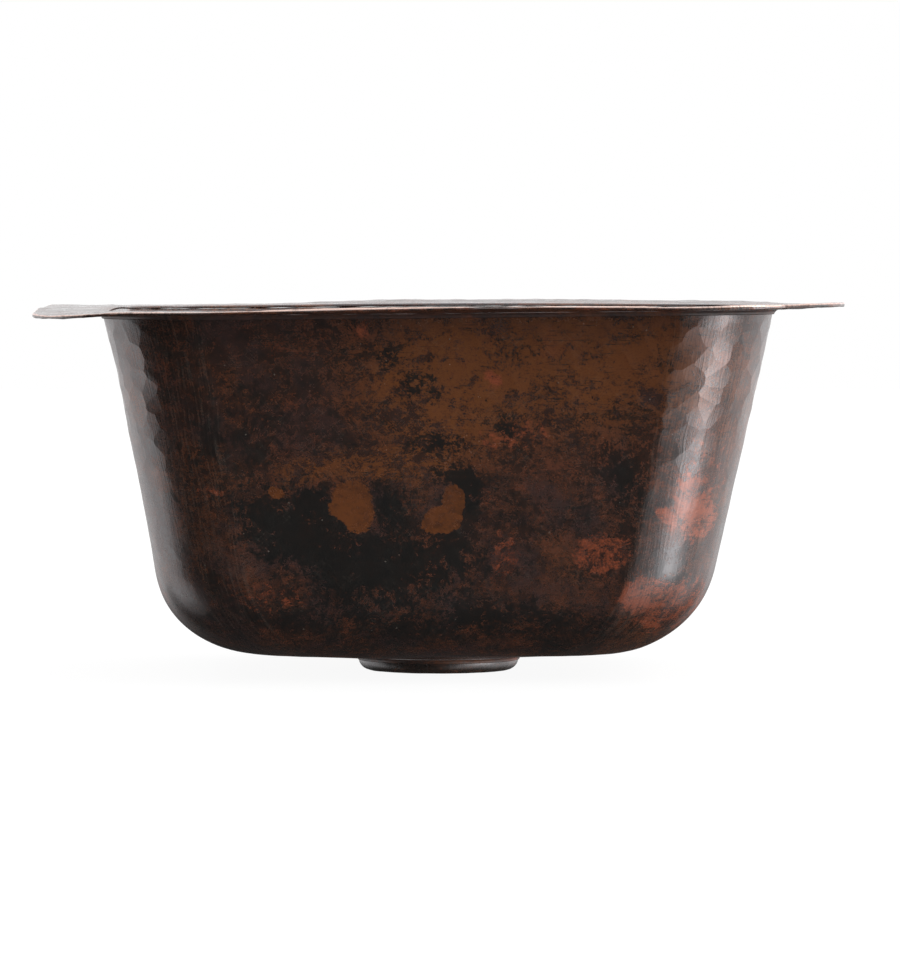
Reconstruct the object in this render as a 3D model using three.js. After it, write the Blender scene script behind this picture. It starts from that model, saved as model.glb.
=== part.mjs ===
// A hand-hammered copper bar sink. A tapered square basin hangs from a flat flange and opens
// at the bottom into a shallow round well for the drain fitting. Braze fillets join the three.
// Millimetres, +Z up. The origin is on the drain's axis, at the underside of the drain well.
import * as THREE from "three";

// Driving sizes
const OVERALL_WIDTH = 381;
const OVERALL_HEIGHT = 178;
const SHEET = 1.5;
const FLANGE_WIDTH = 33;
const CORNER_RADIUS = 52; // of the mouth's four corners, outside the walls
const WALL_TAPER = THREE.MathUtils.degToRad(11.5);
const HEEL_RADIUS = 54; // outside radius where the walls turn into the floor
const FLOOR_FALL = THREE.MathUtils.degToRad(5.5); // the floor drains towards the middle
const SIDE_CROWN = THREE.MathUtils.degToRad(8); // how far a side's ends turn towards the corners
const WELL_DIAMETER = 78;
const WELL_DEPTH = 7; // how far the well hangs below the floor
const WELL_EDGE_RADIUS = 0.85 * WELL_DEPTH; // leaves a short upright wall above it
const DRAIN_HOLE_DIAMETER = 50.8;
const SEAT_DEPTH = 0.2; // how far the walls are let into the flange's underside
const FLANGE_BEAD = 2.2; // leg of the braze fillet under the flange
const WELL_BEAD = 1.8; // leg of the braze fillet round the well
const GAP = 0.3; // between pieces that touch

// Mesh fineness
const CORNER_STEPS = 12;
const SIDE_STEPS = 4;
const HEEL_STEPS = 8;
const WALL_STEPS = 3;
const FLOOR_STEPS = 5;
const EDGE_STEPS = 4;

const FLANGE_UNDERSIDE = OVERALL_HEIGHT - SHEET;
const WALL_TOP = FLANGE_UNDERSIDE - GAP + SEAT_DEPTH;
const MOUTH_HALF = OVERALL_WIDTH / 2 - FLANGE_WIDTH;
const WELL_RADIUS = WELL_DIAMETER / 2;
const WELL_INNER_RADIUS = WELL_RADIUS - SHEET;

// Values at even shares of the way from 0 up to 1, without the one at 1 itself.
const inSteps = (steps, valueAt) => Array.from({ length: steps }, (_, i) => valueAt(i / steps));

// Plan outlines ----------------------------------------------------------------------------

// A rounded square is a walk round a core square of half side 1. Each stop has its place on the
// core and the direction from there out to the outline. Along a side the direction swings a
// little, which crowns the side, and at a corner it swings through the rest of the turn.
function quarterStops(turn) {
  const stop = (x, y, angle) => {
    const core = new THREE.Vector2(x, y).rotateAround(new THREE.Vector2(), turn);
    return { core, angle: turn + angle };
  };
  const side = inSteps(SIDE_STEPS, (share) => {
    const along = 2 * share - 1;
    return stop(1, along, along * SIDE_CROWN);
  });
  const corner = inSteps(CORNER_STEPS, (share) => {
    const angle = THREE.MathUtils.lerp(SIDE_CROWN, Math.PI / 2 - SIDE_CROWN, share);
    return stop(1, 1, angle);
  });
  return [...side, ...corner];
}

const stops = inSteps(4, (share) => quarterStops(2 * Math.PI * share)).flat();

// A ring of points with a half width and a corner radius. It is a circle where the two are equal.
const outline = (halfWidth, cornerRadius, height) =>
  stops.map(({ core, angle }) => {
    const x = core.x * (halfWidth - cornerRadius) + Math.cos(angle) * cornerRadius;
    const y = core.y * (halfWidth - cornerRadius) + Math.sin(angle) * cornerRadius;
    return new THREE.Vector3(x, y, height);
  });

const circle = (radius, height) => outline(radius, radius, height);

// The basin's profile, halfway along a side ------------------------------------------------

// Height of the floor's underside at a distance from the axis.
const floorHeight = (distance) => WELL_DEPTH + (distance - WELL_INNER_RADIUS) * Math.tan(FLOOR_FALL);

// Half width of the wall's outside at a height.
const wallHalf = (height) => MOUTH_HALF - (FLANGE_UNDERSIDE - height) * Math.tan(WALL_TAPER);

// The corner radius tightens evenly from the mouth to the circle round the drain well.
const cornerRadius = (halfWidth) =>
  THREE.MathUtils.mapLinear(halfWidth, WELL_INNER_RADIUS, MOUTH_HALF, WELL_INNER_RADIUS, CORNER_RADIUS);

// Centre of the heel's arc, which touches the wall line and the floor line from inside.
function heelCentre() {
  const [cw, sw] = [Math.cos(WALL_TAPER), Math.sin(WALL_TAPER)];
  const [cf, sf] = [Math.cos(FLOOR_FALL), Math.sin(FLOOR_FALL)];
  const wallReach = MOUTH_HALF * cw - FLANGE_UNDERSIDE * sw - HEEL_RADIUS;
  const floorReach = WELL_INNER_RADIUS * sf - WELL_DEPTH * cf - HEEL_RADIUS;
  const determinant = sw * sf - cw * cf;
  const across = (floorReach * sw - wallReach * cf) / determinant;
  const up = (cw * floorReach - sf * wallReach) / determinant;
  return new THREE.Vector2(across, up);
}

// The outside of the basin as rings from the mouth down to the drain well.
function basinOutside() {
  const centre = heelCentre();
  const heelPoint = (share) => {
    const turn = THREE.MathUtils.lerp(-WALL_TAPER, FLOOR_FALL - Math.PI / 2, share);
    return new THREE.Vector2(Math.cos(turn), Math.sin(turn)).multiplyScalar(HEEL_RADIUS).add(centre);
  };
  const wallTop = new THREE.Vector2(wallHalf(WALL_TOP), WALL_TOP);
  const wallFoot = heelPoint(0);
  const floorEdge = heelPoint(1);
  const opening = new THREE.Vector2(WELL_INNER_RADIUS, WELL_DEPTH);

  const wall = inSteps(WALL_STEPS, (share) => wallTop.clone().lerp(wallFoot, share));
  const heel = inSteps(HEEL_STEPS, heelPoint);
  const floor = inSteps(FLOOR_STEPS, (share) => floorEdge.clone().lerp(opening, share));
  return [...wall, ...heel, ...floor, opening].map((p) => outline(p.x, cornerRadius(p.x), p.y));
}

// Building closed meshes from rings of points ----------------------------------------------

// Joins rings of points into a closed tube round the axis: each ring to the next, and the last
// ring to the first. The rings run down the outside and up the inside.
function loftLoop(rings) {
  const around = rings[0].length;
  const positions = rings.flat().flatMap((p) => [p.x, p.y, p.z]);
  const index = [];
  rings.forEach((_, r) => {
    const here = r * around;
    const next = ((r + 1) % rings.length) * around;
    for (let i = 0; i < around; i++) {
      const j = (i + 1) % around;
      index.push(here + i, next + i, here + j, here + j, next + i, next + j);
    }
  });
  const geometry = new THREE.BufferGeometry();
  geometry.setAttribute("position", new THREE.Float32BufferAttribute(positions, 3));
  geometry.setIndex(index);
  geometry.computeVertexNormals();
  return geometry;
}

// The outward normals of a surface given as rings, from the points on either side.
function ringNormals(rings) {
  const around = rings[0].length;
  return rings.map((ring, r) =>
    ring.map((_, i) => {
      const up = rings[Math.max(r - 1, 0)][i];
      const down = rings[Math.min(r + 1, rings.length - 1)][i];
      const along = ring[(i + 1) % around].clone().sub(ring[(i + around - 1) % around]);
      return along.cross(up.clone().sub(down)).normalize();
    }),
  );
}

function offsetRings(rings, distance) {
  const normals = ringNormals(rings);
  return rings.map((ring, r) => ring.map((p, i) => p.clone().addScaledVector(normals[r][i], distance)));
}

// The walls' outline at the flange, moved outwards by a distance and set at a height.
function mouth(distance, height) {
  const halfWidth = wallHalf(WALL_TOP) + distance;
  return outline(halfWidth, CORNER_RADIUS + distance, height);
}

// A closed profile of [radius, height] points, up the outside and down the inside, turned
// round the drain's axis.
const turned = (profile) => loftLoop(profile.map(([radius, height]) => circle(radius, height)).reverse());

// Points along a quarter round, with the first and the last included.
function quarterRound(across, up, radius, startAngle, endAngle) {
  return Array.from({ length: EDGE_STEPS + 1 }, (_, i) => {
    const angle = THREE.MathUtils.lerp(startAngle, endAngle, i / EDGE_STEPS);
    return [across + radius * Math.cos(angle), up + radius * Math.sin(angle)];
  });
}

// The pieces -------------------------------------------------------------------------------

// One sheet of copper raised into walls and floor, open at the top and at the drain well.
function basinGeometry() {
  const outside = basinOutside();
  const inside = offsetRings(outside, -SHEET);
  inside[0] = mouth(-SHEET / Math.cos(WALL_TAPER), WALL_TOP);
  return loftLoop([...outside, ...inside.reverse()]);
}

// A flat ring on top of the walls. Its inner edge is flush with their inside and rounded over,
// and its outer edge has both arrises eased. Underneath, it is scraped down where the walls and
// the braze meet it, so that the rest of the underside is one clean face to lie on a worktop.
function flangeGeometry() {
  const inner = -SHEET / Math.cos(WALL_TAPER);
  const outer = OVERALL_WIDTH / 2 - wallHalf(WALL_TOP);
  const ease = SHEET / 4;
  const seatEdge = GAP + FLANGE_BEAD + GAP;
  const profile = [
    [inner, WALL_TOP + GAP],
    [seatEdge, WALL_TOP + GAP],
    [seatEdge, FLANGE_UNDERSIDE],
    [outer - ease, FLANGE_UNDERSIDE],
    [outer, FLANGE_UNDERSIDE + ease],
    [outer, OVERALL_HEIGHT - ease],
    [outer - ease, OVERALL_HEIGHT],
    ...quarterRound(inner + SHEET / 2, OVERALL_HEIGHT - SHEET / 2, SHEET / 2, Math.PI / 2, Math.PI),
  ];
  return loftLoop(profile.map(([distance, height]) => mouth(distance, height)).reverse());
}

// A dished cup under the floor, with the drain hole in its bottom.
function drainWellGeometry() {
  const hole = DRAIN_HOLE_DIAMETER / 2;
  const corner = WELL_RADIUS - WELL_EDGE_RADIUS;
  const innerEdge = WELL_EDGE_RADIUS - SHEET;
  return turned([
    [hole, 0],
    ...quarterRound(corner, WELL_EDGE_RADIUS, WELL_EDGE_RADIUS, -Math.PI / 2, 0),
    [WELL_RADIUS, floorHeight(WELL_RADIUS) - GAP],
    [WELL_INNER_RADIUS, floorHeight(WELL_INNER_RADIUS) - GAP],
    ...quarterRound(corner, WELL_EDGE_RADIUS, innerEdge, 0, -Math.PI / 2),
    [hole, SHEET],
  ]);
}

// The fillet of braze in the corner between the walls and the flange's underside.
function flangeSeamGeometry() {
  return loftLoop([
    mouth(GAP + FLANGE_BEAD, WALL_TOP),
    mouth(GAP, WALL_TOP - FLANGE_BEAD),
    mouth(GAP, WALL_TOP),
  ]);
}

// The fillet of braze in the corner between the floor's underside and the well.
function wellSeamGeometry() {
  const near = WELL_RADIUS + GAP;
  const far = near + WELL_BEAD;
  return turned([
    [near, floorHeight(near) - GAP - WELL_BEAD],
    [far, floorHeight(far) - GAP],
    [near, floorHeight(near) - GAP],
  ]);
}

// Materials --------------------------------------------------------------------------------

const patina = new THREE.MeshStandardMaterial({ color: 0x4a2c20, roughness: 0.4, metalness: 0.8 });
const wornPatina = new THREE.MeshStandardMaterial({ color: 0x6b4a3c, roughness: 0.35, metalness: 0.9 });
const darkPatina = new THREE.MeshStandardMaterial({ color: 0x2c211d, roughness: 0.4, metalness: 0.8 });
const braze = new THREE.MeshStandardMaterial({ color: 0x5a3a2c, roughness: 0.45, metalness: 0.8 });

// The assembly -----------------------------------------------------------------------------

function piece(name, geometry, material) {
  const mesh = new THREE.Mesh(geometry, material);
  mesh.name = name;
  return mesh;
}

const sink = new THREE.Group();
sink.add(
  piece("basin", basinGeometry(), patina),
  piece("flange", flangeGeometry(), wornPatina),
  piece("drain_well", drainWellGeometry(), darkPatina),
  piece("flange_braze_seam", flangeSeamGeometry(), braze),
  piece("well_braze_seam", wellSeamGeometry(), braze),
);

export default sink;
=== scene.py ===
"""A hand-hammered copper bar sink: a tapered square basin under a flat flange, with a drain well.

Every piece is a closed profile carried round a rounded-square plan, then planished with
overlapping hammer blows. The patina is dark oxide over brown and orange copper.
"""
import math
from typing import NamedTuple

import bpy
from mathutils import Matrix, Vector


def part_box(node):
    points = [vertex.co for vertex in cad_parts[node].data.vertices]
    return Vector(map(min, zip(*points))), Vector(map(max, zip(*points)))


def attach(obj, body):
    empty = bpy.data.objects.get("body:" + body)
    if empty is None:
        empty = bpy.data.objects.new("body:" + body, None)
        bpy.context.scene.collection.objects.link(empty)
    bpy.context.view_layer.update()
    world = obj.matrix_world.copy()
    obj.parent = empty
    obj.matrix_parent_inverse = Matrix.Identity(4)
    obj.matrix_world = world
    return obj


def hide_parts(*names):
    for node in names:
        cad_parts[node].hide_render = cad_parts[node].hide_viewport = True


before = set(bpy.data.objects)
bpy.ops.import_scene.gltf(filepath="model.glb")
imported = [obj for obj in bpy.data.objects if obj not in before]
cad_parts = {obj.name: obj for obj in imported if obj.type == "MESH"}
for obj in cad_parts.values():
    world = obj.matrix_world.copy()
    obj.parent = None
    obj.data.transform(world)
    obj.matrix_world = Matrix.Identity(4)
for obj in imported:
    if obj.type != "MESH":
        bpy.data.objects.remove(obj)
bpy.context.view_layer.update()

# Sizes, in metres -----------------------------------------------------------------------------

MM = 0.001

basin_low, basin_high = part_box("basin")
flange_low, flange_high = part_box("flange")
well_low, well_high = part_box("drain_well")

SHEET = flange_high.z - flange_low.z
GAP = 0.3 * MM  # between pieces that touch

WALL_TOP = basin_high.z
MOUTH_HALF = basin_high.x
MOUTH_CORNER = 52 * MM  # plan radius of the mouth's corners
WALL_TAPER = math.radians(11.5)
HEEL_RADIUS = 54 * MM
FLOOR_FALL = math.radians(5.5)
SIDE_CROWN = math.radians(8)

WELL_HALF = well_high.x
WELL_OPENING = WELL_HALF - SHEET
WELL_EDGE_RADIUS = 5.95 * MM
DRAIN_HOLE_HALF = 25.4 * MM

FLANGE_BEAD = 2.2 * MM
WELL_BEAD = 1.8 * MM
BEAD_HOLLOW = 0.22  # how far a braze fillet's face sinks in
FLANGE_ARRIS = SHEET * 0.22
WELL_ARRIS = SHEET * 0.3

# Hammer marks
BLOW_SPACING = 9.5 * MM
DISH_RADIUS = 88 * MM  # of the hollow that one blow leaves
MEAN_BLOW = 0.13  # mean height of the blows, as a share of their spacing squared over the radius
INSIDE_BLOWS = 1.9  # how much deeper the blows are on the basin's inside than outside
LOW_BLOWS = 0.25  # share of their depth that they have low on the walls
SIDE_BLOWS = 0.55  # in the middle of a side
WELL_BLOWS = 0.35  # and on the drain well
BLOW_SHIFT = Vector((3.1, 7.7, 5.3))  # where the pattern of blows begins

# Steps of the mesh: on each side and corner of the plan, and between the rings
SIDE_STEPS, CORNER_STEPS = 80, 30
ROUND_SIDE_STEPS, ROUND_CORNER_STEPS = 8, 37
HEEL_STEPS = 28
BEAD_STEPS = 8
BASIN_STEP = 2.5 * MM
FLANGE_STEP = 2.4 * MM
WELL_STEP = 1.6 * MM

# Node helpers ---------------------------------------------------------------------------------


class Wiring:
    """Adds nodes to one tree and joins them up. A value is a number, a colour or a socket."""

    def __init__(self, tree):
        self.tree = tree

    def add(self, kind, inputs=(), output=0, **settings):
        """One node. Inputs are {name or number: value or socket}. Gives one output socket."""
        node = self.tree.nodes.new(kind)
        for name, value in settings.items():
            setattr(node, name, value)
        for key, value in dict(inputs).items():
            if isinstance(value, bpy.types.NodeSocket):
                self.tree.links.new(value, node.inputs[key])
            else:
                node.inputs[key].default_value = value
        return node.outputs[output]

    def math(self, operation, *values):
        return self.add("ShaderNodeMath", enumerate(values), operation=operation)

    def vector(self, operation, *values):
        return self.add("ShaderNodeVectorMath", enumerate(values), operation=operation)

    def scaled(self, vector, factor):
        return self.add("ShaderNodeVectorMath", {0: vector, "Scale": factor}, operation="SCALE")

    def length(self, vector):
        return self.add("ShaderNodeVectorMath", {0: vector}, output=1, operation="LENGTH")

    def ramp(self, value, start, end, low=0.0, high=1.0, kind="SMOOTHSTEP"):
        """Goes from low to high while the value goes from start to end."""
        inputs = {0: value, 1: start, 2: end, 3: low, 4: high}
        return self.add("ShaderNodeMapRange", inputs, interpolation_type=kind)

    def total(self, values):
        result = values[0]
        for value in values[1:]:
            result = self.math("ADD", result, value)
        return result

    def mixed(self, factor, first, second):
        """The second colour over the first."""
        inputs = {0: factor, 6: first, 7: second}
        return self.add("ShaderNodeMix", inputs, output=2, data_type="RGBA")

    def noise(self, position, size, detail=2.0, roughness=0.5, stretch=(1, 1, 1), output=0):
        """Cloudy noise with features of about this size, drawn out on each axis by the stretch."""
        place = self.vector("DIVIDE", position, Vector(stretch) * size)
        inputs = {"Vector": place, "Scale": 1.0, "Detail": detail, "Roughness": roughness}
        return self.add("ShaderNodeTexNoise", inputs, output=output)

    def warped(self, position, size, shift, detail=2.0):
        """The position, wandering by up to about the shift."""
        drift = self.noise(position, size, detail, output=1)
        drift = self.vector("SUBTRACT", drift, (0.5, 0.5, 0.5))
        return self.vector("ADD", position, self.scaled(drift, 2 * shift))

    def spot(self, position, centre, size, edge=0.5):
        """1 inside an ellipsoid, fading to 0 at its skin."""
        offset = self.vector("SUBTRACT", position, centre)
        reach = self.length(self.vector("DIVIDE", offset, size))
        return self.ramp(reach, 1.0 - edge, 1.0 + edge, 1.0, 0.0)


def hammer_height(w, position, spacing, dish_radius):
    """Height of a surface covered with overlapping round hollows, one for each blow."""
    place = w.scaled(position, w.math("DIVIDE", 1.0, spacing))
    distance = w.add(
        "ShaderNodeTexVoronoi",
        {"Vector": w.vector("ADD", place, BLOW_SHIFT), "Scale": 1.0, "Randomness": 0.9},
        voronoi_dimensions="3D",
        feature="F1",
    )
    across = w.math("MULTIPLY", distance, spacing)
    squared = w.math("MULTIPLY", across, across)
    return w.math("DIVIDE", squared, w.math("MULTIPLY", dish_radius, 2.0))


# Profiles -------------------------------------------------------------------------------------


class Row(NamedTuple):
    """One point of a profile, which becomes one ring round the sink."""

    half: float  # half width of the ring
    height: float
    corner: float  # plan radius of the ring's corners
    planish: float = 1.0  # how deep the hammer marks are
    give: float = 1.0  # how far the ring may be pushed out of true
    worn: float = 0.0  # how far the finish is rubbed off


def between(first, second, share):
    return Row(*(a + (b - a) * share for a, b in zip(first, second)))


def filled_in(rows, step, closed=True):
    """The profile with rows added so that none are further apart than the step."""
    result = []
    for here, after in zip(rows, rows[1:] + rows[:1] if closed else rows[1:]):
        length = math.hypot(after.half - here.half, after.height - here.height)
        parts = max(1, math.ceil(length / step - 1e-6))
        result += [between(here, after, i / parts) for i in range(parts)]
    return result if closed else [*result, rows[-1]]


def arc(centre, radius, start, end, steps):
    """Points on an arc, from the start angle to the end angle in degrees."""
    angles = [math.radians(start + (end - start) * i / steps) for i in range(steps + 1)]
    return [(centre[0] + radius * math.cos(a), centre[1] + radius * math.sin(a)) for a in angles]


def ease(value, start, end):
    """0 before the start and 1 after the end, smooth between them."""
    share = min(max((value - start) / (end - start), 0.0), 1.0)
    return share * share * (3 - 2 * share)


def floor_height(distance):
    return basin_low.z + (distance - WELL_OPENING) * math.tan(FLOOR_FALL)


def basin_corner(half):
    """The corners tighten evenly from the mouth to the circle round the drain well."""
    share = (half - WELL_OPENING) / (MOUTH_HALF - WELL_OPENING)
    return WELL_OPENING + (MOUTH_CORNER - WELL_OPENING) * share


def heel_centre():
    """Centre of the arc that touches the wall and the floor from inside."""
    wall = (math.cos(WALL_TAPER), -math.sin(WALL_TAPER))  # outward normals
    floor = (math.sin(FLOOR_FALL), -math.cos(FLOOR_FALL))
    wall_reach = MOUTH_HALF * wall[0] + WALL_TOP * wall[1] - HEEL_RADIUS
    floor_reach = WELL_OPENING * floor[0] + basin_low.z * floor[1] - HEEL_RADIUS
    turn = wall[0] * floor[1] - wall[1] * floor[0]
    across = (wall_reach * floor[1] - floor_reach * wall[1]) / turn
    up = (wall[0] * floor_reach - floor[0] * wall_reach) / turn
    return across, up


def basin_profile():
    """One sheet: up the outside from the drain well to the mouth, and down the inside."""
    centre = heel_centre()
    start, end = math.degrees(FLOOR_FALL) - 90, -math.degrees(WALL_TAPER)
    heel = arc(centre, HEEL_RADIUS, start, end, HEEL_STEPS)
    line = [(WELL_OPENING, basin_low.z), *heel, (MOUTH_HALF, WALL_TOP)]

    outside = []
    for row in filled_in([Row(*place, 0.0) for place in line], BASIN_STEP, closed=False):
        half, height = row.half, row.height
        planish = ease(WALL_TOP - height, 0, 8 * MM) * ease(half - WELL_HALF, 0, 12 * MM)
        planish *= LOW_BLOWS + (1 - LOW_BLOWS) * ease(height, 85 * MM, 140 * MM)
        give = ease(WALL_TOP - height, 0, 40 * MM) * ease(half - WELL_HALF, 0, 30 * MM)
        outside.append(Row(half, height, basin_corner(half), planish, give))
    last = len(outside) - 1

    inside = []
    for i, row in enumerate(outside):
        under = outside[max(i - 1, 0)]
        over = outside[min(i + 1, last)]
        along = Vector((over.half - under.half, over.height - under.height)).normalized()
        half = row.half - along.y * SHEET
        height = min(row.height + along.x * SHEET, WALL_TOP)
        corner = row.corner - along.y * SHEET
        inside.append(Row(half, height, corner, row.planish * INSIDE_BLOWS, row.give))
    return outside + inside[::-1]


def mouth_row(distance, height, planish=0.0, give=0.0, worn=0.0):
    """A ring that follows the mouth, a distance outside the walls."""
    return Row(MOUTH_HALF + distance, height, MOUTH_CORNER + distance, planish, give, worn)


def flange_profile():
    """A flat ring with a rounded inner edge and crisp, slightly eased outer arrises."""
    inner = -SHEET / math.cos(WALL_TAPER)
    outer = flange_high.x - MOUTH_HALF
    low, high = flange_low.z, flange_high.z
    seat = WALL_TOP + GAP
    seat_edge = GAP + FLANGE_BEAD + GAP
    soft = FLANGE_ARRIS

    underside = [(inner, seat), (seat_edge, seat), (seat_edge + 0.4 * MM, low)]
    outer_edge = arc((outer - soft, low + soft), soft, -90, 0, 2)
    outer_edge += [(outer, high - 2 * soft)]
    outer_edge += arc((outer - soft, high - soft), soft, 0, 90, 2)
    outer_edge += [(outer - 2 * soft, high)]
    inner_edge = arc((inner + SHEET / 2, high - SHEET / 2), SHEET / 2, 90, 180, 4)
    shape = [Row(*place, 0.0) for place in underside + outer_edge + inner_edge]

    rows = []
    for row in filled_in(shape, FLANGE_STEP):
        distance, height = row.half, row.height
        planish = ease(distance, -2 * MM, 6 * MM)
        loose = ease(distance, 2 * MM, outer)
        worn = ease(distance, outer - 2 * soft, outer - soft)
        worn *= ease(height, high - 2 * soft, high - soft)
        rows.append(mouth_row(distance, height, planish, loose, worn))
    return rows


def turned_rows(points, planish=0.0):
    """Rings that are plain circles round the drain."""
    return [Row(distance, height, distance, planish, 0.0) for distance, height in points]


def well_profile():
    """A dished cup with the drain hole in its bottom."""
    centre = (WELL_HALF - WELL_EDGE_RADIUS, WELL_EDGE_RADIUS)
    soft = WELL_ARRIS
    hole = DRAIN_HOLE_HALF
    outside = arc(centre, WELL_EDGE_RADIUS, -90, 0, 8)
    inside = arc(centre, WELL_EDGE_RADIUS - SHEET, 0, -90, 8)
    rim = [
        (WELL_HALF, floor_height(WELL_HALF) - GAP),
        (WELL_OPENING, floor_height(WELL_OPENING) - GAP),
    ]
    hole_edge = arc((hole + soft, SHEET - soft), soft, 90, 180, 3)
    hole_edge += arc((hole + soft, soft), soft, 180, 270, 3)
    return filled_in(turned_rows([*outside, *rim, *inside, *hole_edge], WELL_BLOWS), WELL_STEP)


def bead(corner_distance, corner_height, leg_along, leg_down, fall=0.0):
    """A braze fillet's section: a corner, its two legs and a hollow face between them."""
    foot = (corner_distance, corner_height - leg_down)
    toe = (corner_distance + leg_along, corner_height + leg_along * math.tan(fall))
    face = []
    for i in range(BEAD_STEPS + 1):
        share = i / BEAD_STEPS
        sag = BEAD_HOLLOW * math.sin(math.pi * share)
        across = foot[0] + (toe[0] - foot[0]) * share
        up = foot[1] + (toe[1] - foot[1]) * share
        face.append((across - sag * leg_along / 2, up + sag * leg_down / 2))
    return [*face, (corner_distance, corner_height)]


def flange_seam_profile():
    section = bead(GAP, WALL_TOP, FLANGE_BEAD, FLANGE_BEAD)
    return [mouth_row(distance, height) for distance, height in section]


def well_seam_profile():
    near = WELL_HALF + GAP
    section = bead(near, floor_height(near) - GAP, WELL_BEAD, WELL_BEAD, FLOOR_FALL)
    return turned_rows(section)


# Raising a profile into a piece ---------------------------------------------------------------


class Push(NamedTuple):
    """A place where a piece is out of true: pushed by the shift, fading out over the size."""

    centre: Vector
    size: Vector
    shift: Vector
    whole: bool = False  # moves every ring alike, and not only as far as it gives


def millimetres(*values):
    return Vector(values) * MM


# The rim as a whole sags at the front left, and a little at both back corners.
RIM_PUSHES = (
    Push(millimetres(-130, -160, 177), millimetres(170, 120, 120), millimetres(0, 0, -2.4), True),
    Push(millimetres(-150, 160, 177), millimetres(120, 110, 110), millimetres(0, 0, -2.4), True),
    Push(millimetres(150, 160, 177), millimetres(110, 110, 110), millimetres(0, 0, -1.6), True),
)

# The left of the heel bellies out and the right is a little slimmer.
BASIN_PUSHES = (
    *RIM_PUSHES,
    Push(millimetres(-112, -40, 26), millimetres(45, 150, 42), millimetres(-3.0, 0, -0.6)),
    Push(millimetres(120, -40, 40), millimetres(60, 160, 80), millimetres(-1.6, 0, 0)),
    Push(millimetres(-150, 0, 165), millimetres(30, 200, 45), millimetres(1.2, 0, 0)),
)

# The flange's front left tip curls down. It lifts at the front right, along the back and in
# the middle of the front.
FLANGE_PUSHES = (
    *RIM_PUSHES,
    Push(millimetres(-192, -170, 177), millimetres(28, 60, 60), millimetres(0, 0, -2.6)),
    Push(millimetres(192, -150, 177), millimetres(45, 90, 60), millimetres(0, 0, 1.5)),
    Push(millimetres(55, 190, 177), millimetres(120, 50, 60), millimetres(0, 0, 2.0)),
    Push(millimetres(15, -192, 177), millimetres(80, 60, 60), millimetres(0, 0, 1.7)),
)

TREE_INPUTS = {
    "Steps Around": "NodeSocketInt",
    "Side Share": "NodeSocketFloat",
    "Side Crown": "NodeSocketFloat",
    "Side Planish": "NodeSocketFloat",
    "Blow Spacing": "NodeSocketFloat",
    "Dish Radius": "NodeSocketFloat",
    "Wobble Size": "NodeSocketFloat",
    "Wobble Height": "NodeSocketFloat",
    "Seed": "NodeSocketFloat",
    "Finish": "NodeSocketMaterial",
}

CORNER_START = 0.55  # share of a side's half length past which the nearness to a corner rises
WELD_DISTANCE = 0.005 * MM


def known(w, label):
    """A value that the points carry."""
    return w.add("GeometryNodeInputNamedAttribute", {0: label}, data_type="FLOAT")


def with_value(w, mesh, label, value, kind="FLOAT"):
    """The mesh with a value for its points to carry."""
    inputs = {"Geometry": mesh, "Name": label, "Value": value}
    return w.add("GeometryNodeStoreNamedAttribute", inputs, data_type=kind, domain="POINT")


def moved(w, mesh, offset):
    return w.add("GeometryNodeSetPosition", {"Geometry": mesh, "Offset": offset})


def plan_place(w, around, given, half, corner):
    """Place on the rounded-square plan at a share of the way round, and how near a corner it is.

    Each quarter is a side, where the direction swings a little to crown it, then a corner.
    """
    quarters = w.math("MULTIPLY", around, 4.0)
    share = w.math("FRACT", quarters)
    turn = w.math("MULTIPLY", w.math("FLOOR", quarters), math.pi / 2)
    along = w.ramp(share, 0.0, given["Side Share"], -1.0, 1.0, "LINEAR")
    sweep = w.math("SUBTRACT", math.pi / 2, w.math("MULTIPLY", given["Side Crown"], 2.0))
    bend = w.ramp(share, given["Side Share"], 1.0, 0.0, sweep, "LINEAR")
    angle = w.math("ADD", w.math("MULTIPLY", along, given["Side Crown"]), bend)

    core = w.math("SUBTRACT", half, corner)
    x = w.math("MULTIPLY_ADD", w.math("COSINE", angle), corner, core)
    y = w.math("MULTIPLY_ADD", w.math("SINE", angle), corner, w.math("MULTIPLY", along, core))
    place = w.add("ShaderNodeCombineXYZ", {0: x, 1: y})
    turned = w.add(
        "ShaderNodeVectorRotate", {"Vector": place, "Angle": turn}, rotation_type="Z_AXIS"
    )
    return turned, w.ramp(w.math("ABSOLUTE", along), CORNER_START, 1.0)


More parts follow.
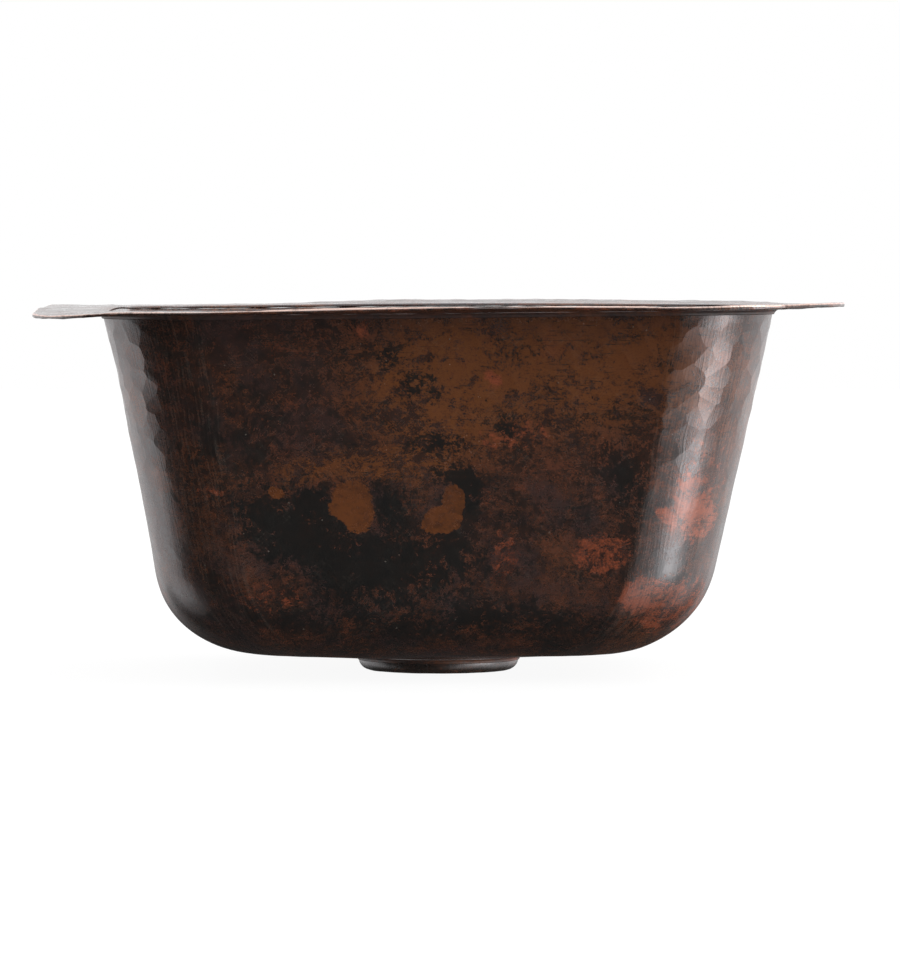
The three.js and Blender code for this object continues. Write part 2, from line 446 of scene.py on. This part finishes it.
def rings_round_the_plan(w, given):
    """The profile's points as rings: a grid with a column for each step and a row for each point."""
    rows = w.add("GeometryNodeAttributeDomainSize", {0: given["Profile"]}, component="MESH")
    across = w.math("ADD", given["Steps Around"], 1.0)
    up = w.math("ADD", rows, 1.0)
    sizes = {"Size X": 1.0, "Size Y": 1.0, "Vertices X": across, "Vertices Y": up}
    grid = w.add("GeometryNodeMeshGrid", sizes)
    x, y, _ = w.add("ShaderNodeSeparateXYZ", {0: w.add("GeometryNodeInputPosition")}).node.outputs
    around = w.math("ADD", x, 0.5)
    row = w.math("ROUND", w.math("MULTIPLY", w.math("ADD", y, 0.5), rows))
    row = w.math("MODULO", row, rows)

    def from_profile(value, kind="FLOAT"):
        inputs = {0: given["Profile"], 1: value, "Index": row}
        return w.add("GeometryNodeSampleIndex", inputs, data_type=kind)

    here = from_profile(w.add("GeometryNodeInputPosition"), "FLOAT_VECTOR")
    half, _, height = w.add("ShaderNodeSeparateXYZ", {0: here}).node.outputs
    corner = from_profile(known(w, "corner"))
    plan, cornered = plan_place(w, around, given, half, corner)
    place = w.vector("ADD", plan, w.add("ShaderNodeCombineXYZ", {2: height}))

    blows = w.math("SUBTRACT", 1.0, given["Side Planish"])
    blows = w.math("MULTIPLY_ADD", cornered, blows, given["Side Planish"])
    blows = w.math("MULTIPLY", from_profile(known(w, "planish")), blows)
    mesh = with_value(w, grid, "planish", blows)
    mesh = with_value(w, mesh, "give", from_profile(known(w, "give")))
    mesh = with_value(w, mesh, "worn", from_profile(known(w, "worn")))
    mesh = with_value(w, mesh, "cornered", cornered)
    mesh = w.add("GeometryNodeSetPosition", {"Geometry": mesh, "Position": place})
    return w.add("GeometryNodeMergeByDistance", {"Geometry": mesh, "Distance": WELD_DISTANCE})


def out_of_true(w, mesh, given, position, normal, pushes):
    """The mesh after each push and a gentle wobble, as far as its rings give."""
    for push in pushes:
        fade = w.spot(position, push.centre, push.size, 1.0)
        if not push.whole:
            fade = w.math("MULTIPLY", fade, known(w, "give"))
        mesh = moved(w, mesh, w.scaled(push.shift, fade))
    place = w.scaled(position, w.math("DIVIDE", 1.0, given["Wobble Size"]))
    inputs = {"Vector": place, "W": given["Seed"], "Scale": 1.0, "Detail": 1.0}
    lump = w.add("ShaderNodeTexNoise", inputs, noise_dimensions="4D")
    lump = w.math("MULTIPLY", w.math("SUBTRACT", lump, 0.5), given["Wobble Height"])
    lump = w.math("MULTIPLY", lump, known(w, "give"))
    return moved(w, mesh, w.scaled(normal, lump))


def planished(w, mesh, given, position, normal):
    """The mesh with its hammer blows, measured from their mean height."""
    blows = hammer_height(w, position, given["Blow Spacing"], given["Dish Radius"])
    mean = w.math("MULTIPLY", given["Blow Spacing"], given["Blow Spacing"])
    mean = w.math("DIVIDE", w.math("MULTIPLY", mean, MEAN_BLOW), given["Dish Radius"])
    blows = w.math("MULTIPLY", w.math("SUBTRACT", blows, mean), known(w, "planish"))
    return moved(w, mesh, w.scaled(normal, blows))


def raising_tree(name, pushes):
    """The tree that carries a profile round the plan, pushes it out of true and planishes it."""
    tree = bpy.data.node_groups.new(name, "GeometryNodeTree")
    tree.is_modifier = True
    tree.interface.new_socket("Profile", in_out="INPUT", socket_type="NodeSocketGeometry")
    for label, kind in TREE_INPUTS.items():
        tree.interface.new_socket(label, in_out="INPUT", socket_type=kind)
    tree.interface.new_socket("Piece", in_out="OUTPUT", socket_type="NodeSocketGeometry")
    w = Wiring(tree)
    given = tree.nodes.new("NodeGroupInput").outputs
    position = w.add("GeometryNodeInputPosition")
    normal = w.add("GeometryNodeInputNormal")

    mesh = rings_round_the_plan(w, given)
    mesh = out_of_true(w, mesh, given, position, normal, pushes)
    mesh = with_value(w, mesh, "true_normal", normal, "FLOAT_VECTOR")
    mesh = planished(w, mesh, given, position, normal)
    mesh = w.add("GeometryNodeSetShadeSmooth", {"Geometry": mesh})
    mesh = w.add("GeometryNodeRealizeInstances", {"Geometry": mesh})
    mesh = w.add("GeometryNodeSetMaterial", {"Geometry": mesh, "Material": given["Finish"]})
    tree.links.new(mesh, tree.nodes.new("NodeGroupOutput").inputs["Piece"])
    return tree


# Making the pieces ----------------------------------------------------------------------------


def profile_object(name, rows):
    """An object that holds a profile's points, with what each ring needs as attributes."""
    mesh = bpy.data.meshes.new(name)
    mesh.from_pydata([(row.half, 0.0, row.height) for row in rows], [], [])
    for label in ("corner", "planish", "give", "worn"):
        values = mesh.attributes.new(label, "FLOAT", "POINT").data
        values.foreach_set("value", [getattr(row, label) for row in rows])
    piece = bpy.data.objects.new(name, mesh)
    bpy.context.scene.collection.objects.link(piece)
    return piece


def raised(name, rows, finish, pushes=(), **sizes):
    """The finished piece: its profile raised, hammered and turned into a plain mesh."""
    piece = profile_object(name, rows)
    tree = raising_tree(f"raise_{name}", pushes)
    given = {
        "Steps Around": 4 * (SIDE_STEPS + CORNER_STEPS),
        "Side Share": SIDE_STEPS / (SIDE_STEPS + CORNER_STEPS),
        "Side Crown": SIDE_CROWN,
        "Side Planish": SIDE_BLOWS,
        "Blow Spacing": BLOW_SPACING,
        "Dish Radius": DISH_RADIUS,
        "Wobble Size": 60 * MM,
        "Wobble Height": 2.4 * MM,
        "Seed": 3.0,
        "Finish": finish,
    }
    given.update({label.replace("_", " ").title(): value for label, value in sizes.items()})
    raising = piece.modifiers.new("raising", "NODES")
    raising.node_group = tree
    for item in tree.interface.items_tree:
        if item.in_out == "INPUT" and item.name in given:
            raising[item.identifier] = given[item.name]

    evaluated = piece.evaluated_get(bpy.context.evaluated_depsgraph_get())
    mesh = bpy.data.meshes.new_from_object(evaluated)
    piece.modifiers.remove(raising)
    piece.data = mesh
    mesh.name = name
    shade_before_hammering(mesh)
    return piece


def shade_before_hammering(mesh):
    """Gives the mesh the normals it had before the blows, which its finish marks by itself."""
    true = [value.vector.copy() for value in mesh.attributes["true_normal"].data]
    mesh.normals_split_custom_set_from_vertices(true)
    mesh.attributes.remove(mesh.attributes["true_normal"])
    mesh.attributes.remove(mesh.attributes["give"])


# Finishes -------------------------------------------------------------------------------------

BLACK_OXIDE = (0.0105, 0.0118, 0.0110, 1)
UMBER = (0.042, 0.0195, 0.0145, 1)
PLUM = (0.062, 0.033, 0.030, 1)
CHESTNUT = (0.088, 0.033, 0.018, 1)
RUSSET = (0.160, 0.052, 0.027, 1)
OCHRE = (0.222, 0.073, 0.021, 1)
BRICK = (0.360, 0.088, 0.038, 1)
BRIGHT_COPPER = (0.245, 0.080, 0.026, 1)
PALE_DUST = (0.45, 0.40, 0.34, 1)
RUBBED_COPPER = (0.82, 0.60, 0.52, 1)

FRONT = -140 * MM  # depth of the middle of the front wall
PATCH_DEPTH = 70 * MM  # how far a patch reaches before and behind it


class Patch(NamedTuple):
    """A patch on the front wall: its middle and its half width and height, in millimetres."""

    x: float
    z: float
    wide: float
    tall: float
    strength: float = 1.0
    edge: float = 0.6  # how soft it is, as a share of its size


BLACK_PATCHES = (
    Patch(-70, 79, 25, 16, 1.8),
    Patch(-25, 58, 44, 14, 1.45),
    Patch(-21, 85, 10, 9, 1.1, 0.9),
    Patch(14, 90, 6, 12, 1.2),
    Patch(-95, 121, 28, 25, 0.35),
    Patch(-22, 155, 7, 6),
    Patch(-6, 140, 11, 10),
    Patch(1, 113, 14, 6),
    Patch(4, 100, 7, 6),
    Patch(32, 122, 4, 7),
    Patch(84, 106, 11, 16, 0.5),
    Patch(92, 84, 10, 16, 0.6),
    Patch(108, 58, 9, 14, 0.9),
    Patch(0, 32, 80, 12, 0.7),
    Patch(11, 139, 22, 0.8, 0.9),
)
OCHRE_PATCHES = (
    Patch(45, 150, 78, 32, 0.85),
    Patch(-4, 132, 25, 34, 0.6),
    Patch(-28, 104, 27, 8),
    Patch(-63, 100, 10, 5, 0.8),
)
BRICK_PATCHES = (
    Patch(-35, 169, 7, 5, 0.7),
    Patch(24, 144, 5, 5, 0.8),
    Patch(36, 118, 20, 9, 0.7),
    Patch(30, 61, 8, 13, 0.8),
    Patch(76, 62, 14, 9, 1.15),
    Patch(94, 45, 11, 7, 1.0),
    Patch(104, 82, 4, 3, 0.9),
    Patch(114, 82, 12, 17, 0.7),
    Patch(125, 80, 6, 8, 1.0),
    Patch(112, 34, 24, 18, 1.1),
    Patch(127, 105, 14, 40, 0.55),
    Patch(-80, 42, 26, 10, 0.6),
    Patch(-107, 91, 9, 4, 0.7),
)
BRIGHT_PATCHES = (
    Patch(-44, 86, 6, 8, 1.0, 0.5),
    Patch(-38, 83, 6, 9, 1.0, 0.5),
    Patch(-40, 94, 8, 5, 0.6, 0.8),
    Patch(2, 77, 9, 6, 1.1, 0.4),
    Patch(7.5, 86, 5, 8, 1.1, 0.4),
    Patch(-75, 92, 4, 2.5, 0.7, 0.5),
)


def patches(w, position, places):
    """How strongly each of the patches covers a place, added together."""
    cover = []
    for patch in places:
        centre = Vector((patch.x * MM, FRONT, patch.z * MM))
        size = Vector((patch.wide * MM, PATCH_DEPTH, patch.tall * MM))
        spot = w.spot(position, centre, size, patch.edge)
        cover.append(w.math("MULTIPLY", spot, patch.strength))
    return w.total(cover)


EVEN = (1, 1, 1)
DRAWN = (1.3, 1.3, 1)  # a little longer sideways
BRUSHED = (12, 12, 1)

# Noises of a cloudy layer, each a (size, weight, stretch)
GROUND_CLOUDS = (
    (40 * MM, 0.6, EVEN),
    (9 * MM, 0.8, DRAWN),
    (2.4 * MM, 0.9, DRAWN),
    (0.8 * MM, 0.8, EVEN),
)
OXIDE_CLOUDS = (
    (32 * MM, 0.8, DRAWN),
    (10 * MM, 0.9, DRAWN),
    (3 * MM, 1.1, EVEN),
    (1 * MM, 1.0, EVEN),
)
LAYER_SHIFT = Vector((0.31, 0.17, 0.23))  # keeps the noises of a layer from lying in step


def layered(w, position, layers):
    """Noises of several sizes added together, about 0."""
    parts = []
    for number, (size, weight, stretch) in enumerate(layers):
        place = w.vector("ADD", position, LAYER_SHIFT * (number + 1))
        cloud = w.noise(place, size, 4.0, 0.62, stretch)
        parts.append(w.math("MULTIPLY", w.math("SUBTRACT", cloud, 0.5), weight))
    return w.total(parts)


def stored(w, label):
    """A value that the piece's mesh carries."""
    return w.add("ShaderNodeAttribute", output=2, attribute_name=label)


# The ground, from umber through chestnut to russet

BRUSHING = 0.12  # how far the fine sideways brushing shifts the tone


def ground_tone_and_painted_light(w, position, near, brush, front):
    """How light the ground is, about 0. On the front, painted light makes it lighter at the right
    and the top.
    """
    tone = layered(w, near, GROUND_CLOUDS)
    tone = w.math("MULTIPLY_ADD", w.math("SUBTRACT", brush, 0.5), BRUSHING, tone)
    if front is not None:
        x, _, z = w.add("ShaderNodeSeparateXYZ", {0: position}).node.outputs
        # Painted light: the front's tone rises towards the right and the top, where the light falls.
        painted_light_rightwards = w.ramp(x, -130 * MM, 130 * MM, -0.01, 0.07)
        painted_light_upwards = w.ramp(z, 20 * MM, 170 * MM, -0.05, 0.04)
        tone = w.math("MULTIPLY_ADD", w.math("ADD", painted_light_rightwards, painted_light_upwards), front, tone)
    return tone


def brown_ground(w, near, tone):
    """The ground's colour, with plum clouds over it."""
    colour = w.mixed(w.ramp(tone, -0.18, 0.04), UMBER, CHESTNUT)
    colour = w.mixed(w.ramp(tone, 0.02, 0.24), colour, RUSSET)
    plum = w.ramp(w.noise(near, 26 * MM, 5.0, 0.65), 0.46, 0.62, 0.0, 0.7)
    return w.mixed(plum, colour, PLUM)


# Warmer places

PATCHED_CLOUDS = 0.25  # how much of the free clouds is left where the front has its own patches
ISLAND_CONTRAST = 2.2


def warm_places(w, wide, near, front):
    """How far the ground has turned to ochre, and how far to brick red."""
    ochre = w.ramp(w.noise(wide, 70 * MM, 2.0, 0.5), 0.50, 0.68, 0.0, 0.7)
    brick = w.ramp(w.noise(near, 30 * MM, 5.0, 0.6), 0.58, 0.70, 0.0, 0.7)
    if front is not None:
        elsewhere = w.ramp(front, 0.0, 1.0, 1.0, PATCHED_CLOUDS)
        ochre = w.math("MULTIPLY_ADD", ochre, elsewhere, patches(w, near, OCHRE_PATCHES))
        islands = w.math("SUBTRACT", w.noise(near, 4 * MM, 5.0, 0.7), 0.5)
        brick_red = patches(w, near, BRICK_PATCHES)
        islands = w.math("MULTIPLY_ADD", islands, ISLAND_CONTRAST, brick_red)
        brick = w.math("MULTIPLY_ADD", brick, elsewhere, w.ramp(islands, 0.55, 0.95))
    return w.math("MINIMUM", ochre, 1.0), w.math("MINIMUM", brick, 1.0)


# Black oxide

RING_SPACING = 7 * MM
RING_RADIUS = 1.3 * MM
RING_LINE = 0.45 * MM
OXIDE_DEPTH = 0.80  # how much of the ground the oxide hides
THIN_OXIDE_DEPTH, THICK_OXIDE_DEPTH = 0.70, 0.93  # the same, off and on the front's black patches

# What each of these adds to the oxide where it is at its full strength
OXIDE_ON_PATCH = 0.24
OXIDE_ON_OCHRE = -0.18
OXIDE_ON_BRICK = -0.20
# Painted shade: oxide added towards the heel darkens the bottom of the sink.
PAINTED_SHADE_ON_HEEL = 0.06
OXIDE_ON_RING = -0.22


def ring_marks(w, position):
    """Small rings, one for each dried droplet, where a cloudy noise lets them show."""
    inputs = {"Vector": position, "Scale": 1 / RING_SPACING, "Randomness": 1.0}
    distance = w.add("ShaderNodeTexVoronoi", inputs, feature="F1")
    off_ring = w.math("ABSOLUTE", w.math("SUBTRACT", distance, RING_RADIUS / RING_SPACING))
    line = RING_LINE / RING_SPACING
    ring = w.ramp(off_ring, line, 0.4 * line, 0.0, 1.0)
    return w.math("MULTIPLY", ring, w.ramp(w.noise(position, 16 * MM, 2.0), 0.50, 0.62))


def oxide_clouds_and_heel_shade(w, position, near, ochre, brick, age, front):
    """Feathery clouds of oxide with flecks and islands, with painted shade towards the heel, and how
    much of the ground they hide.
    """
    field = w.math("ADD", layered(w, near, OXIDE_CLOUDS), age)
    depth = OXIDE_DEPTH
    if front is not None:
        black = patches(w, near, BLACK_PATCHES)
        field = w.math("MULTIPLY_ADD", black, OXIDE_ON_PATCH, field)
        depth = w.ramp(black, 0.0, 0.9, THIN_OXIDE_DEPTH, THICK_OXIDE_DEPTH)
    field = w.math("MULTIPLY_ADD", ochre, OXIDE_ON_OCHRE, field)
    field = w.math("MULTIPLY_ADD", brick, OXIDE_ON_BRICK, field)
    height = w.add("ShaderNodeSeparateXYZ", {0: position}, output=2)
    # Painted shade: more oxide towards the floor darkens the heel.
    field = w.math("ADD", field, w.ramp(height, 48 * MM, 14 * MM, 0.0, PAINTED_SHADE_ON_HEEL))
    field = w.math("MULTIPLY_ADD", ring_marks(w, near), OXIDE_ON_RING, field)
    return w.ramp(field, -0.04, 0.20), depth


# Marks of the sheet and of use

SCRATCH_WIDTH = 0.55 * MM
SCUFF_WIDTH = 0.4 * MM
SCUFF_LEANS = (0.7, -0.8)  # in radians from level


def scratches(w, position, lean, width, length):
    """Thin lines that lean from level by an angle, many times as long as they are wide."""
    inputs = {"Vector": position, "Angle": lean}
    turned = w.add("ShaderNodeVectorRotate", inputs, rotation_type="Y_AXIS")
    wandering = w.warped(turned, 20 * MM, 1.2 * MM)
    line = w.ramp(w.noise(wandering, width, 2.0, 0.5, (length, length, 1)), 0.60, 0.68)
    return w.math("MULTIPLY", line, w.ramp(w.noise(position, 12 * MM, 3.0), 0.42, 0.60))


def marked(w, position, colour):
    """The colour with the sheet's grain, dark scratches along it and pale scuffs across it."""
    grain = w.noise(position, 0.55 * MM, 2.0, 0.6, (1.6, 1.6, 1))
    colour = w.mixed(w.ramp(grain, 0.50, 0.72, 0.0, 0.38), colour, BLACK_OXIDE)
    along = scratches(w, position, 0.0, SCRATCH_WIDTH, 30)
    colour = w.mixed(w.math("MULTIPLY", along, 0.70), colour, BLACK_OXIDE)
    scuffs = [scratches(w, position, lean, SCUFF_WIDTH, 14) for lean in SCUFF_LEANS]
    return w.mixed(w.math("MULTIPLY", w.total(scuffs), 0.05), colour, PALE_DUST)


RAGGEDNESS = 1.8  # of the edges of the front's bare places


def bare_places(w, near, flecks, front):
    """Where the oxide has flaked off, with ragged edges."""
    bare = w.ramp(w.noise(near, 30 * MM, 6.0, 0.6, (1, 1, 0.8)), 0.73, 0.76)
    if front is not None:
        ragged = w.math("SUBTRACT", flecks, 0.5)
        bright = patches(w, near, BRIGHT_PATCHES)
        ragged = w.math("MULTIPLY_ADD", ragged, RAGGEDNESS, bright)
        bare = w.math("MAXIMUM", bare, w.ramp(ragged, 0.42, 0.62))
    return bare


def dusted(w, near, colour):
    """The colour with pale dust in small pits."""
    inputs = {"Vector": near, "Scale": 1 / (9 * MM)}
    pits = w.add("ShaderNodeTexVoronoi", inputs, feature="F1")
    return w.mixed(w.ramp(pits, 0.045, 0.03, 0.0, 0.35), colour, PALE_DUST)


# Strokes of the hammer's edge, drawn down the corners

STROKE_WIDTH = 0.8 * MM
STROKE_LENGTH = 25  # widths


def round_the_plan(w, position):
    """A place that moves fast round the sink and slowly up it, for marks down the walls."""
    x, y, z = w.add("ShaderNodeSeparateXYZ", {0: position}).node.outputs
    around = w.math("MULTIPLY", w.math("ARCTAN2", y, x), MOUTH_HALF)
    return w.add("ShaderNodeCombineXYZ", {0: around, 1: w.math("MULTIPLY", z, 1 / STROKE_LENGTH)})


def corner_strokes(w, position):
    """The strokes, and 1 on the corners where they show."""
    place = round_the_plan(w, w.warped(position, 25 * MM, 2 * MM))
    return w.noise(place, STROKE_WIDTH, 2.0), w.ramp(stored(w, "cornered"), 0.98, 1.0)


def stroked(w, colour, strokes, corners):
    """The colour with pale and dark strokes."""
    pale = w.math("MULTIPLY", w.ramp(strokes, 0.48, 0.66), 0.06)
    dark = w.math("MULTIPLY", w.ramp(strokes, 0.50, 0.34), 0.35)
    colour = w.mixed(w.math("MULTIPLY", pale, corners), colour, PALE_DUST)
    return w.mixed(w.math("MULTIPLY", dark, corners), colour, BLACK_OXIDE)


# Gloss and relief

WAXED_IOR = 2.1
WAXED_TINT = (0.96, 0.93, 0.96, 1)
BRUSH_RELIEF = 0.004 * MM
GRAIN_RELIEF = 0.020 * MM
OXIDE_RELIEF = 0.012 * MM
STROKE_RELIEF = 0.06 * MM


def metal_share(w, oxide_and_shade, bare, rubbed):
    """Least on thick oxide, and most where the copper is rubbed clean."""
    metal = w.math("MULTIPLY_ADD", bare, 0.20, w.ramp(oxide_and_shade, 0.0, 1.0, 0.18, 0.08))
    return w.math("MULTIPLY_ADD", rubbed, 0.7, metal)


def waxed_roughness(w, oxide_and_shade, flecks, planish, dull):
    """Glossy on the oxide and where the hammer has burnished it, and rougher on the flecks."""
    roughness = w.ramp(oxide_and_shade, 0.0, 1.0, 0.21 + dull, 0.15 + dull)
    roughness = w.math("MULTIPLY_ADD", flecks, 0.14, roughness)
    return w.math("MULTIPLY_ADD", planish, -0.06, roughness)


def relief(w, position, brush, oxide_and_shade, strokes):
    """Height of the brushing, the grain, the oxide's crust and the strokes."""
    grain = w.noise(position, 1.1 * MM, 3.0, 0.6, (1, 1, 1.8))
    height = w.math("MULTIPLY", brush, BRUSH_RELIEF)
    height = w.math("MULTIPLY_ADD", grain, GRAIN_RELIEF, height)
    height = w.math("MULTIPLY_ADD", oxide_and_shade, OXIDE_RELIEF, height)
    return w.math("MULTIPLY_ADD", strokes, STROKE_RELIEF, height)


def hammered_normal(w, position, planish, height):
    """The normal of a surface with hammer blows and a finer height."""
    blows = hammer_height(w, position, BLOW_SPACING, DISH_RADIUS)
    height = w.math("MULTIPLY_ADD", blows, planish, height)
    return w.add("ShaderNodeBump", {"Strength": 1.0, "Distance": 1.0, "Height": height})


def new_finish(name):
    """A material, its wiring and its shader."""
    finish = bpy.data.materials.new(name)
    finish.use_nodes = True
    return finish, Wiring(finish.node_tree), finish.node_tree.nodes["Principled BSDF"]


def aged_copper(name, age=0.0, front_patches=False, dull=0.0):
    """Black oxide clouds over brown copper, worn through to orange and ochre in places."""
    finish, w, shader = new_finish(name)
    position = w.add("ShaderNodeTexCoord", output=3)
    wide = w.warped(position, 38 * MM, 6 * MM)
    near = w.warped(wide, 4 * MM, 0.4 * MM, 3.0)
    brush = w.noise(w.warped(position, 30 * MM, 1.5 * MM), 0.45 * MM, 3.0, 0.6, BRUSHED)
    front = None
    if front_patches:
        front = w.spot(position, Vector((0, FRONT, 90 * MM)), millimetres(170, 60, 130), 0.2)

    tone = ground_tone_and_painted_light(w, position, near, brush, front)
    colour = brown_ground(w, near, tone)
    ochre, brick = warm_places(w, wide, near, front)
    mottle = w.ramp(tone, -0.16, 0.14, 0.08, 1.0)
    colour = w.mixed(w.math("MULTIPLY", ochre, mottle), colour, OCHRE)
    colour = w.mixed(w.math("MULTIPLY", brick, mottle), colour, BRICK)
    oxide_and_shade, depth = oxide_clouds_and_heel_shade(w, position, near, ochre, brick, age, front)
    colour = w.mixed(w.math("MULTIPLY", oxide_and_shade, depth), colour, BLACK_OXIDE)
    colour = marked(w, position, colour)

    flecks = w.noise(near, 3.5 * MM, 5.0, 0.7)
    bare = bare_places(w, near, flecks, front)
    shining = w.math("MULTIPLY", bare, w.ramp(tone, -0.24, 0.12, 0.45, 0.98))
    colour = w.mixed(shining, colour, BRIGHT_COPPER)
    colour = dusted(w, near, colour)
    rubbed = w.ramp(w.noise(near, 5 * MM, 3.0), 0.25, 0.45, 0.5, 1.0)
    rubbed = w.math("MULTIPLY", stored(w, "worn"), rubbed)
    colour = w.mixed(rubbed, colour, RUBBED_COPPER)
    strokes, corners = corner_strokes(w, position)
    colour = stroked(w, colour, strokes, corners)

    planish = stored(w, "planish")
    metal = metal_share(w, oxide_and_shade, bare, rubbed)
    roughness = waxed_roughness(w, oxide_and_shade, flecks, planish, dull)
    height = relief(w, position, brush, oxide_and_shade, w.math("MULTIPLY", strokes, corners))
    normal = hammered_normal(w, position, planish, height)

    results = {"Base Color": colour, "Metallic": metal, "Roughness": roughness, "Normal": normal}
    for socket, result in results.items():
        w.tree.links.new(result, shader.inputs[socket])
    shader.inputs["IOR"].default_value = WAXED_IOR
    shader.inputs["Specular Tint"].default_value = WAXED_TINT
    return finish


# The assembly ---------------------------------------------------------------------------------

basin_finish = aged_copper("basin_copper", front_patches=True)
flange_finish = aged_copper("flange_copper")
well_finish = aged_copper("well_copper", age=0.30, dull=0.08)
braze_finish = aged_copper("braze", age=-0.12, dull=0.12)

ROUND_PLAN = {
    "steps_around": 4 * (ROUND_SIDE_STEPS + ROUND_CORNER_STEPS),
    "side_share": ROUND_SIDE_STEPS / (ROUND_SIDE_STEPS + ROUND_CORNER_STEPS),
    "wobble_height": 0.0,
}

# Name, profile, finish, pushes, the node it stands for, the slot of its finish, and its own sizes
PIECES = (
    ("hammered_basin", basin_profile(), basin_finish, BASIN_PUSHES, "basin", "basin_copper", {}),
    (
        "hammered_flange",
        flange_profile(),
        flange_finish,
        FLANGE_PUSHES,
        "flange",
        "flange_copper",
        {"side_planish": 1.0},
    ),
    ("pressed_drain_well", well_profile(), well_finish, (), "drain_well", "well_copper", ROUND_PLAN),
    (
        "flange_braze",
        flange_seam_profile(),
        braze_finish,
        RIM_PUSHES,
        "flange_braze_seam",
        "braze",
        {},
    ),
    ("well_braze", well_seam_profile(), braze_finish, (), "well_braze_seam", "braze", ROUND_PLAN),
)

for name, profile, finish, pushes, node, slot, sizes in PIECES:
    piece = raised(name, profile, finish, pushes, **sizes)
    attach(piece, "root")
    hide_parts(node)


# The studio -----------------------------------------------------------------------------------


class Light(NamedTuple):
    """Part of the surroundings, in degrees: azimuth 0 is the camera's side, 90 is on its right."""

    left: float
    right: float
    low: float
    high: float
    edge: float
    power: float


# The long highlight on the right corner, the dim panels beside and behind, then front and top
LIGHTS = (
    Light(61, 79, -34, 60, 15, 5.8),
    Light(26, 60, -58, -18, 14, 0.35),
    Light(26, 95, -66, -30, 14, 0.5),
    Light(86, 106, -42, 62, 12, 0.5),
    Light(106, 128, -42, 62, 12, 1.2),
    Light(128, 160, -20, 62, 12, 1.3),
    Light(160, 200, 8, 62, 12, 1.15),
    Light(160, 200, -6, 8, 4, 1.0),
    Light(200, 230, -20, 62, 12, 1.1),
    Light(230, 261, -42, 62, 12, 1.1),
    Light(-60, 45, 2, 45, 12, 1.15),
    Light(-360, 360, 58, 100, 15, 1.3),
)
DIM = 0.03  # power where no light reaches


def studio_surroundings():
    """White to the camera, and to the sink soft panels round it and above it."""
    world = bpy.data.worlds.new("studio")
    bpy.context.scene.world = world
    world.use_nodes = True
    w = Wiring(world.node_tree)
    direction = w.add("ShaderNodeTexCoord", output=0)
    parts = w.add("ShaderNodeSeparateXYZ", {0: direction}).node.outputs
    azimuth = w.math("ARCTAN2", parts["X"], w.math("MULTIPLY", parts["Y"], -1.0))
    azimuth = w.math("DEGREES", azimuth)
    elevation = w.math("DEGREES", w.math("ARCSINE", parts["Z"]))

    def within(value, start, end, edge):
        rise = w.ramp(value, start - edge, start + edge)
        return w.math("MULTIPLY", rise, w.ramp(value, end - edge, end + edge, 1.0, 0.0))

    radiance = [DIM]
    for light in LIGHTS:
        middle = (light.left + light.right) / 2
        offset = w.math("SUBTRACT", azimuth, middle)
        offset = w.math("WRAP", offset, 180.0, -180.0)
        reach = (light.right - light.left) / 2
        across = within(offset, -reach, reach, light.edge)
        up = within(elevation, light.low, light.high, light.edge)
        radiance.append(w.math("MULTIPLY", w.math("MULTIPLY", across, up), light.power))
    seen = w.add("ShaderNodeLightPath", output=0)
    strength = w.add("ShaderNodeMix", {0: seen, 2: w.total(radiance), 3: 1.0}, data_type="FLOAT")
    background = world.node_tree.nodes["Background"]
    background.inputs["Color"].default_value = (1, 1, 1, 1)
    w.tree.links.new(strength, background.inputs["Strength"])


FLOOR_HALF = 6.0
FLOOR_GREY = 0.12
FLOOR_GLOW = 0.93


def pale_floor():
    """A wide white floor that only the camera sees, so that the sink's underside stays dark."""
    half = FLOOR_HALF
    mesh = bpy.data.meshes.new("floor")
    corners = [(-half, -half, 0), (half, -half, 0), (half, half, 0), (-half, half, 0)]
    mesh.from_pydata(corners, [], [(0, 1, 2, 3)])
    floor = bpy.data.objects.new("floor", mesh)
    bpy.context.scene.collection.objects.link(floor)
    paint, _, shader = new_finish("white_floor")
    shader.inputs["Base Color"].default_value = (FLOOR_GREY, FLOOR_GREY, FLOOR_GREY, 1)
    shader.inputs["Specular IOR Level"].default_value = 0.0
    shader.inputs["Roughness"].default_value = 1.0
    shader.inputs["Emission Color"].default_value = (1, 1, 1, 1)
    shader.inputs["Emission Strength"].default_value = FLOOR_GLOW
    mesh.materials.append(paint)
    floor.visible_diffuse = False
    floor.visible_glossy = False
    floor.visible_shadow = False


CAMERA_PLACE = (5.6 * MM, -3000 * MM, 204 * MM)
CAMERA_LENS = 231.5  # in millimetres, over a sensor of 36
CAMERA_DIP = math.radians(2.13)  # below level


def camera():
    """Nearly level with the rim, three metres in front of the middle."""
    data = bpy.data.cameras.new("camera")
    data.lens = CAMERA_LENS
    data.sensor_width = 36
    data.clip_end = 100
    seen_from = bpy.data.objects.new("camera", data)
    seen_from.location = CAMERA_PLACE
    seen_from.rotation_euler = (math.pi / 2 - CAMERA_DIP, 0, 0)
    bpy.context.scene.collection.objects.link(seen_from)
    bpy.context.scene.camera = seen_from


studio_surroundings()
pale_floor()
camera()
bpy.context.scene.view_settings.view_transform = "Standard"
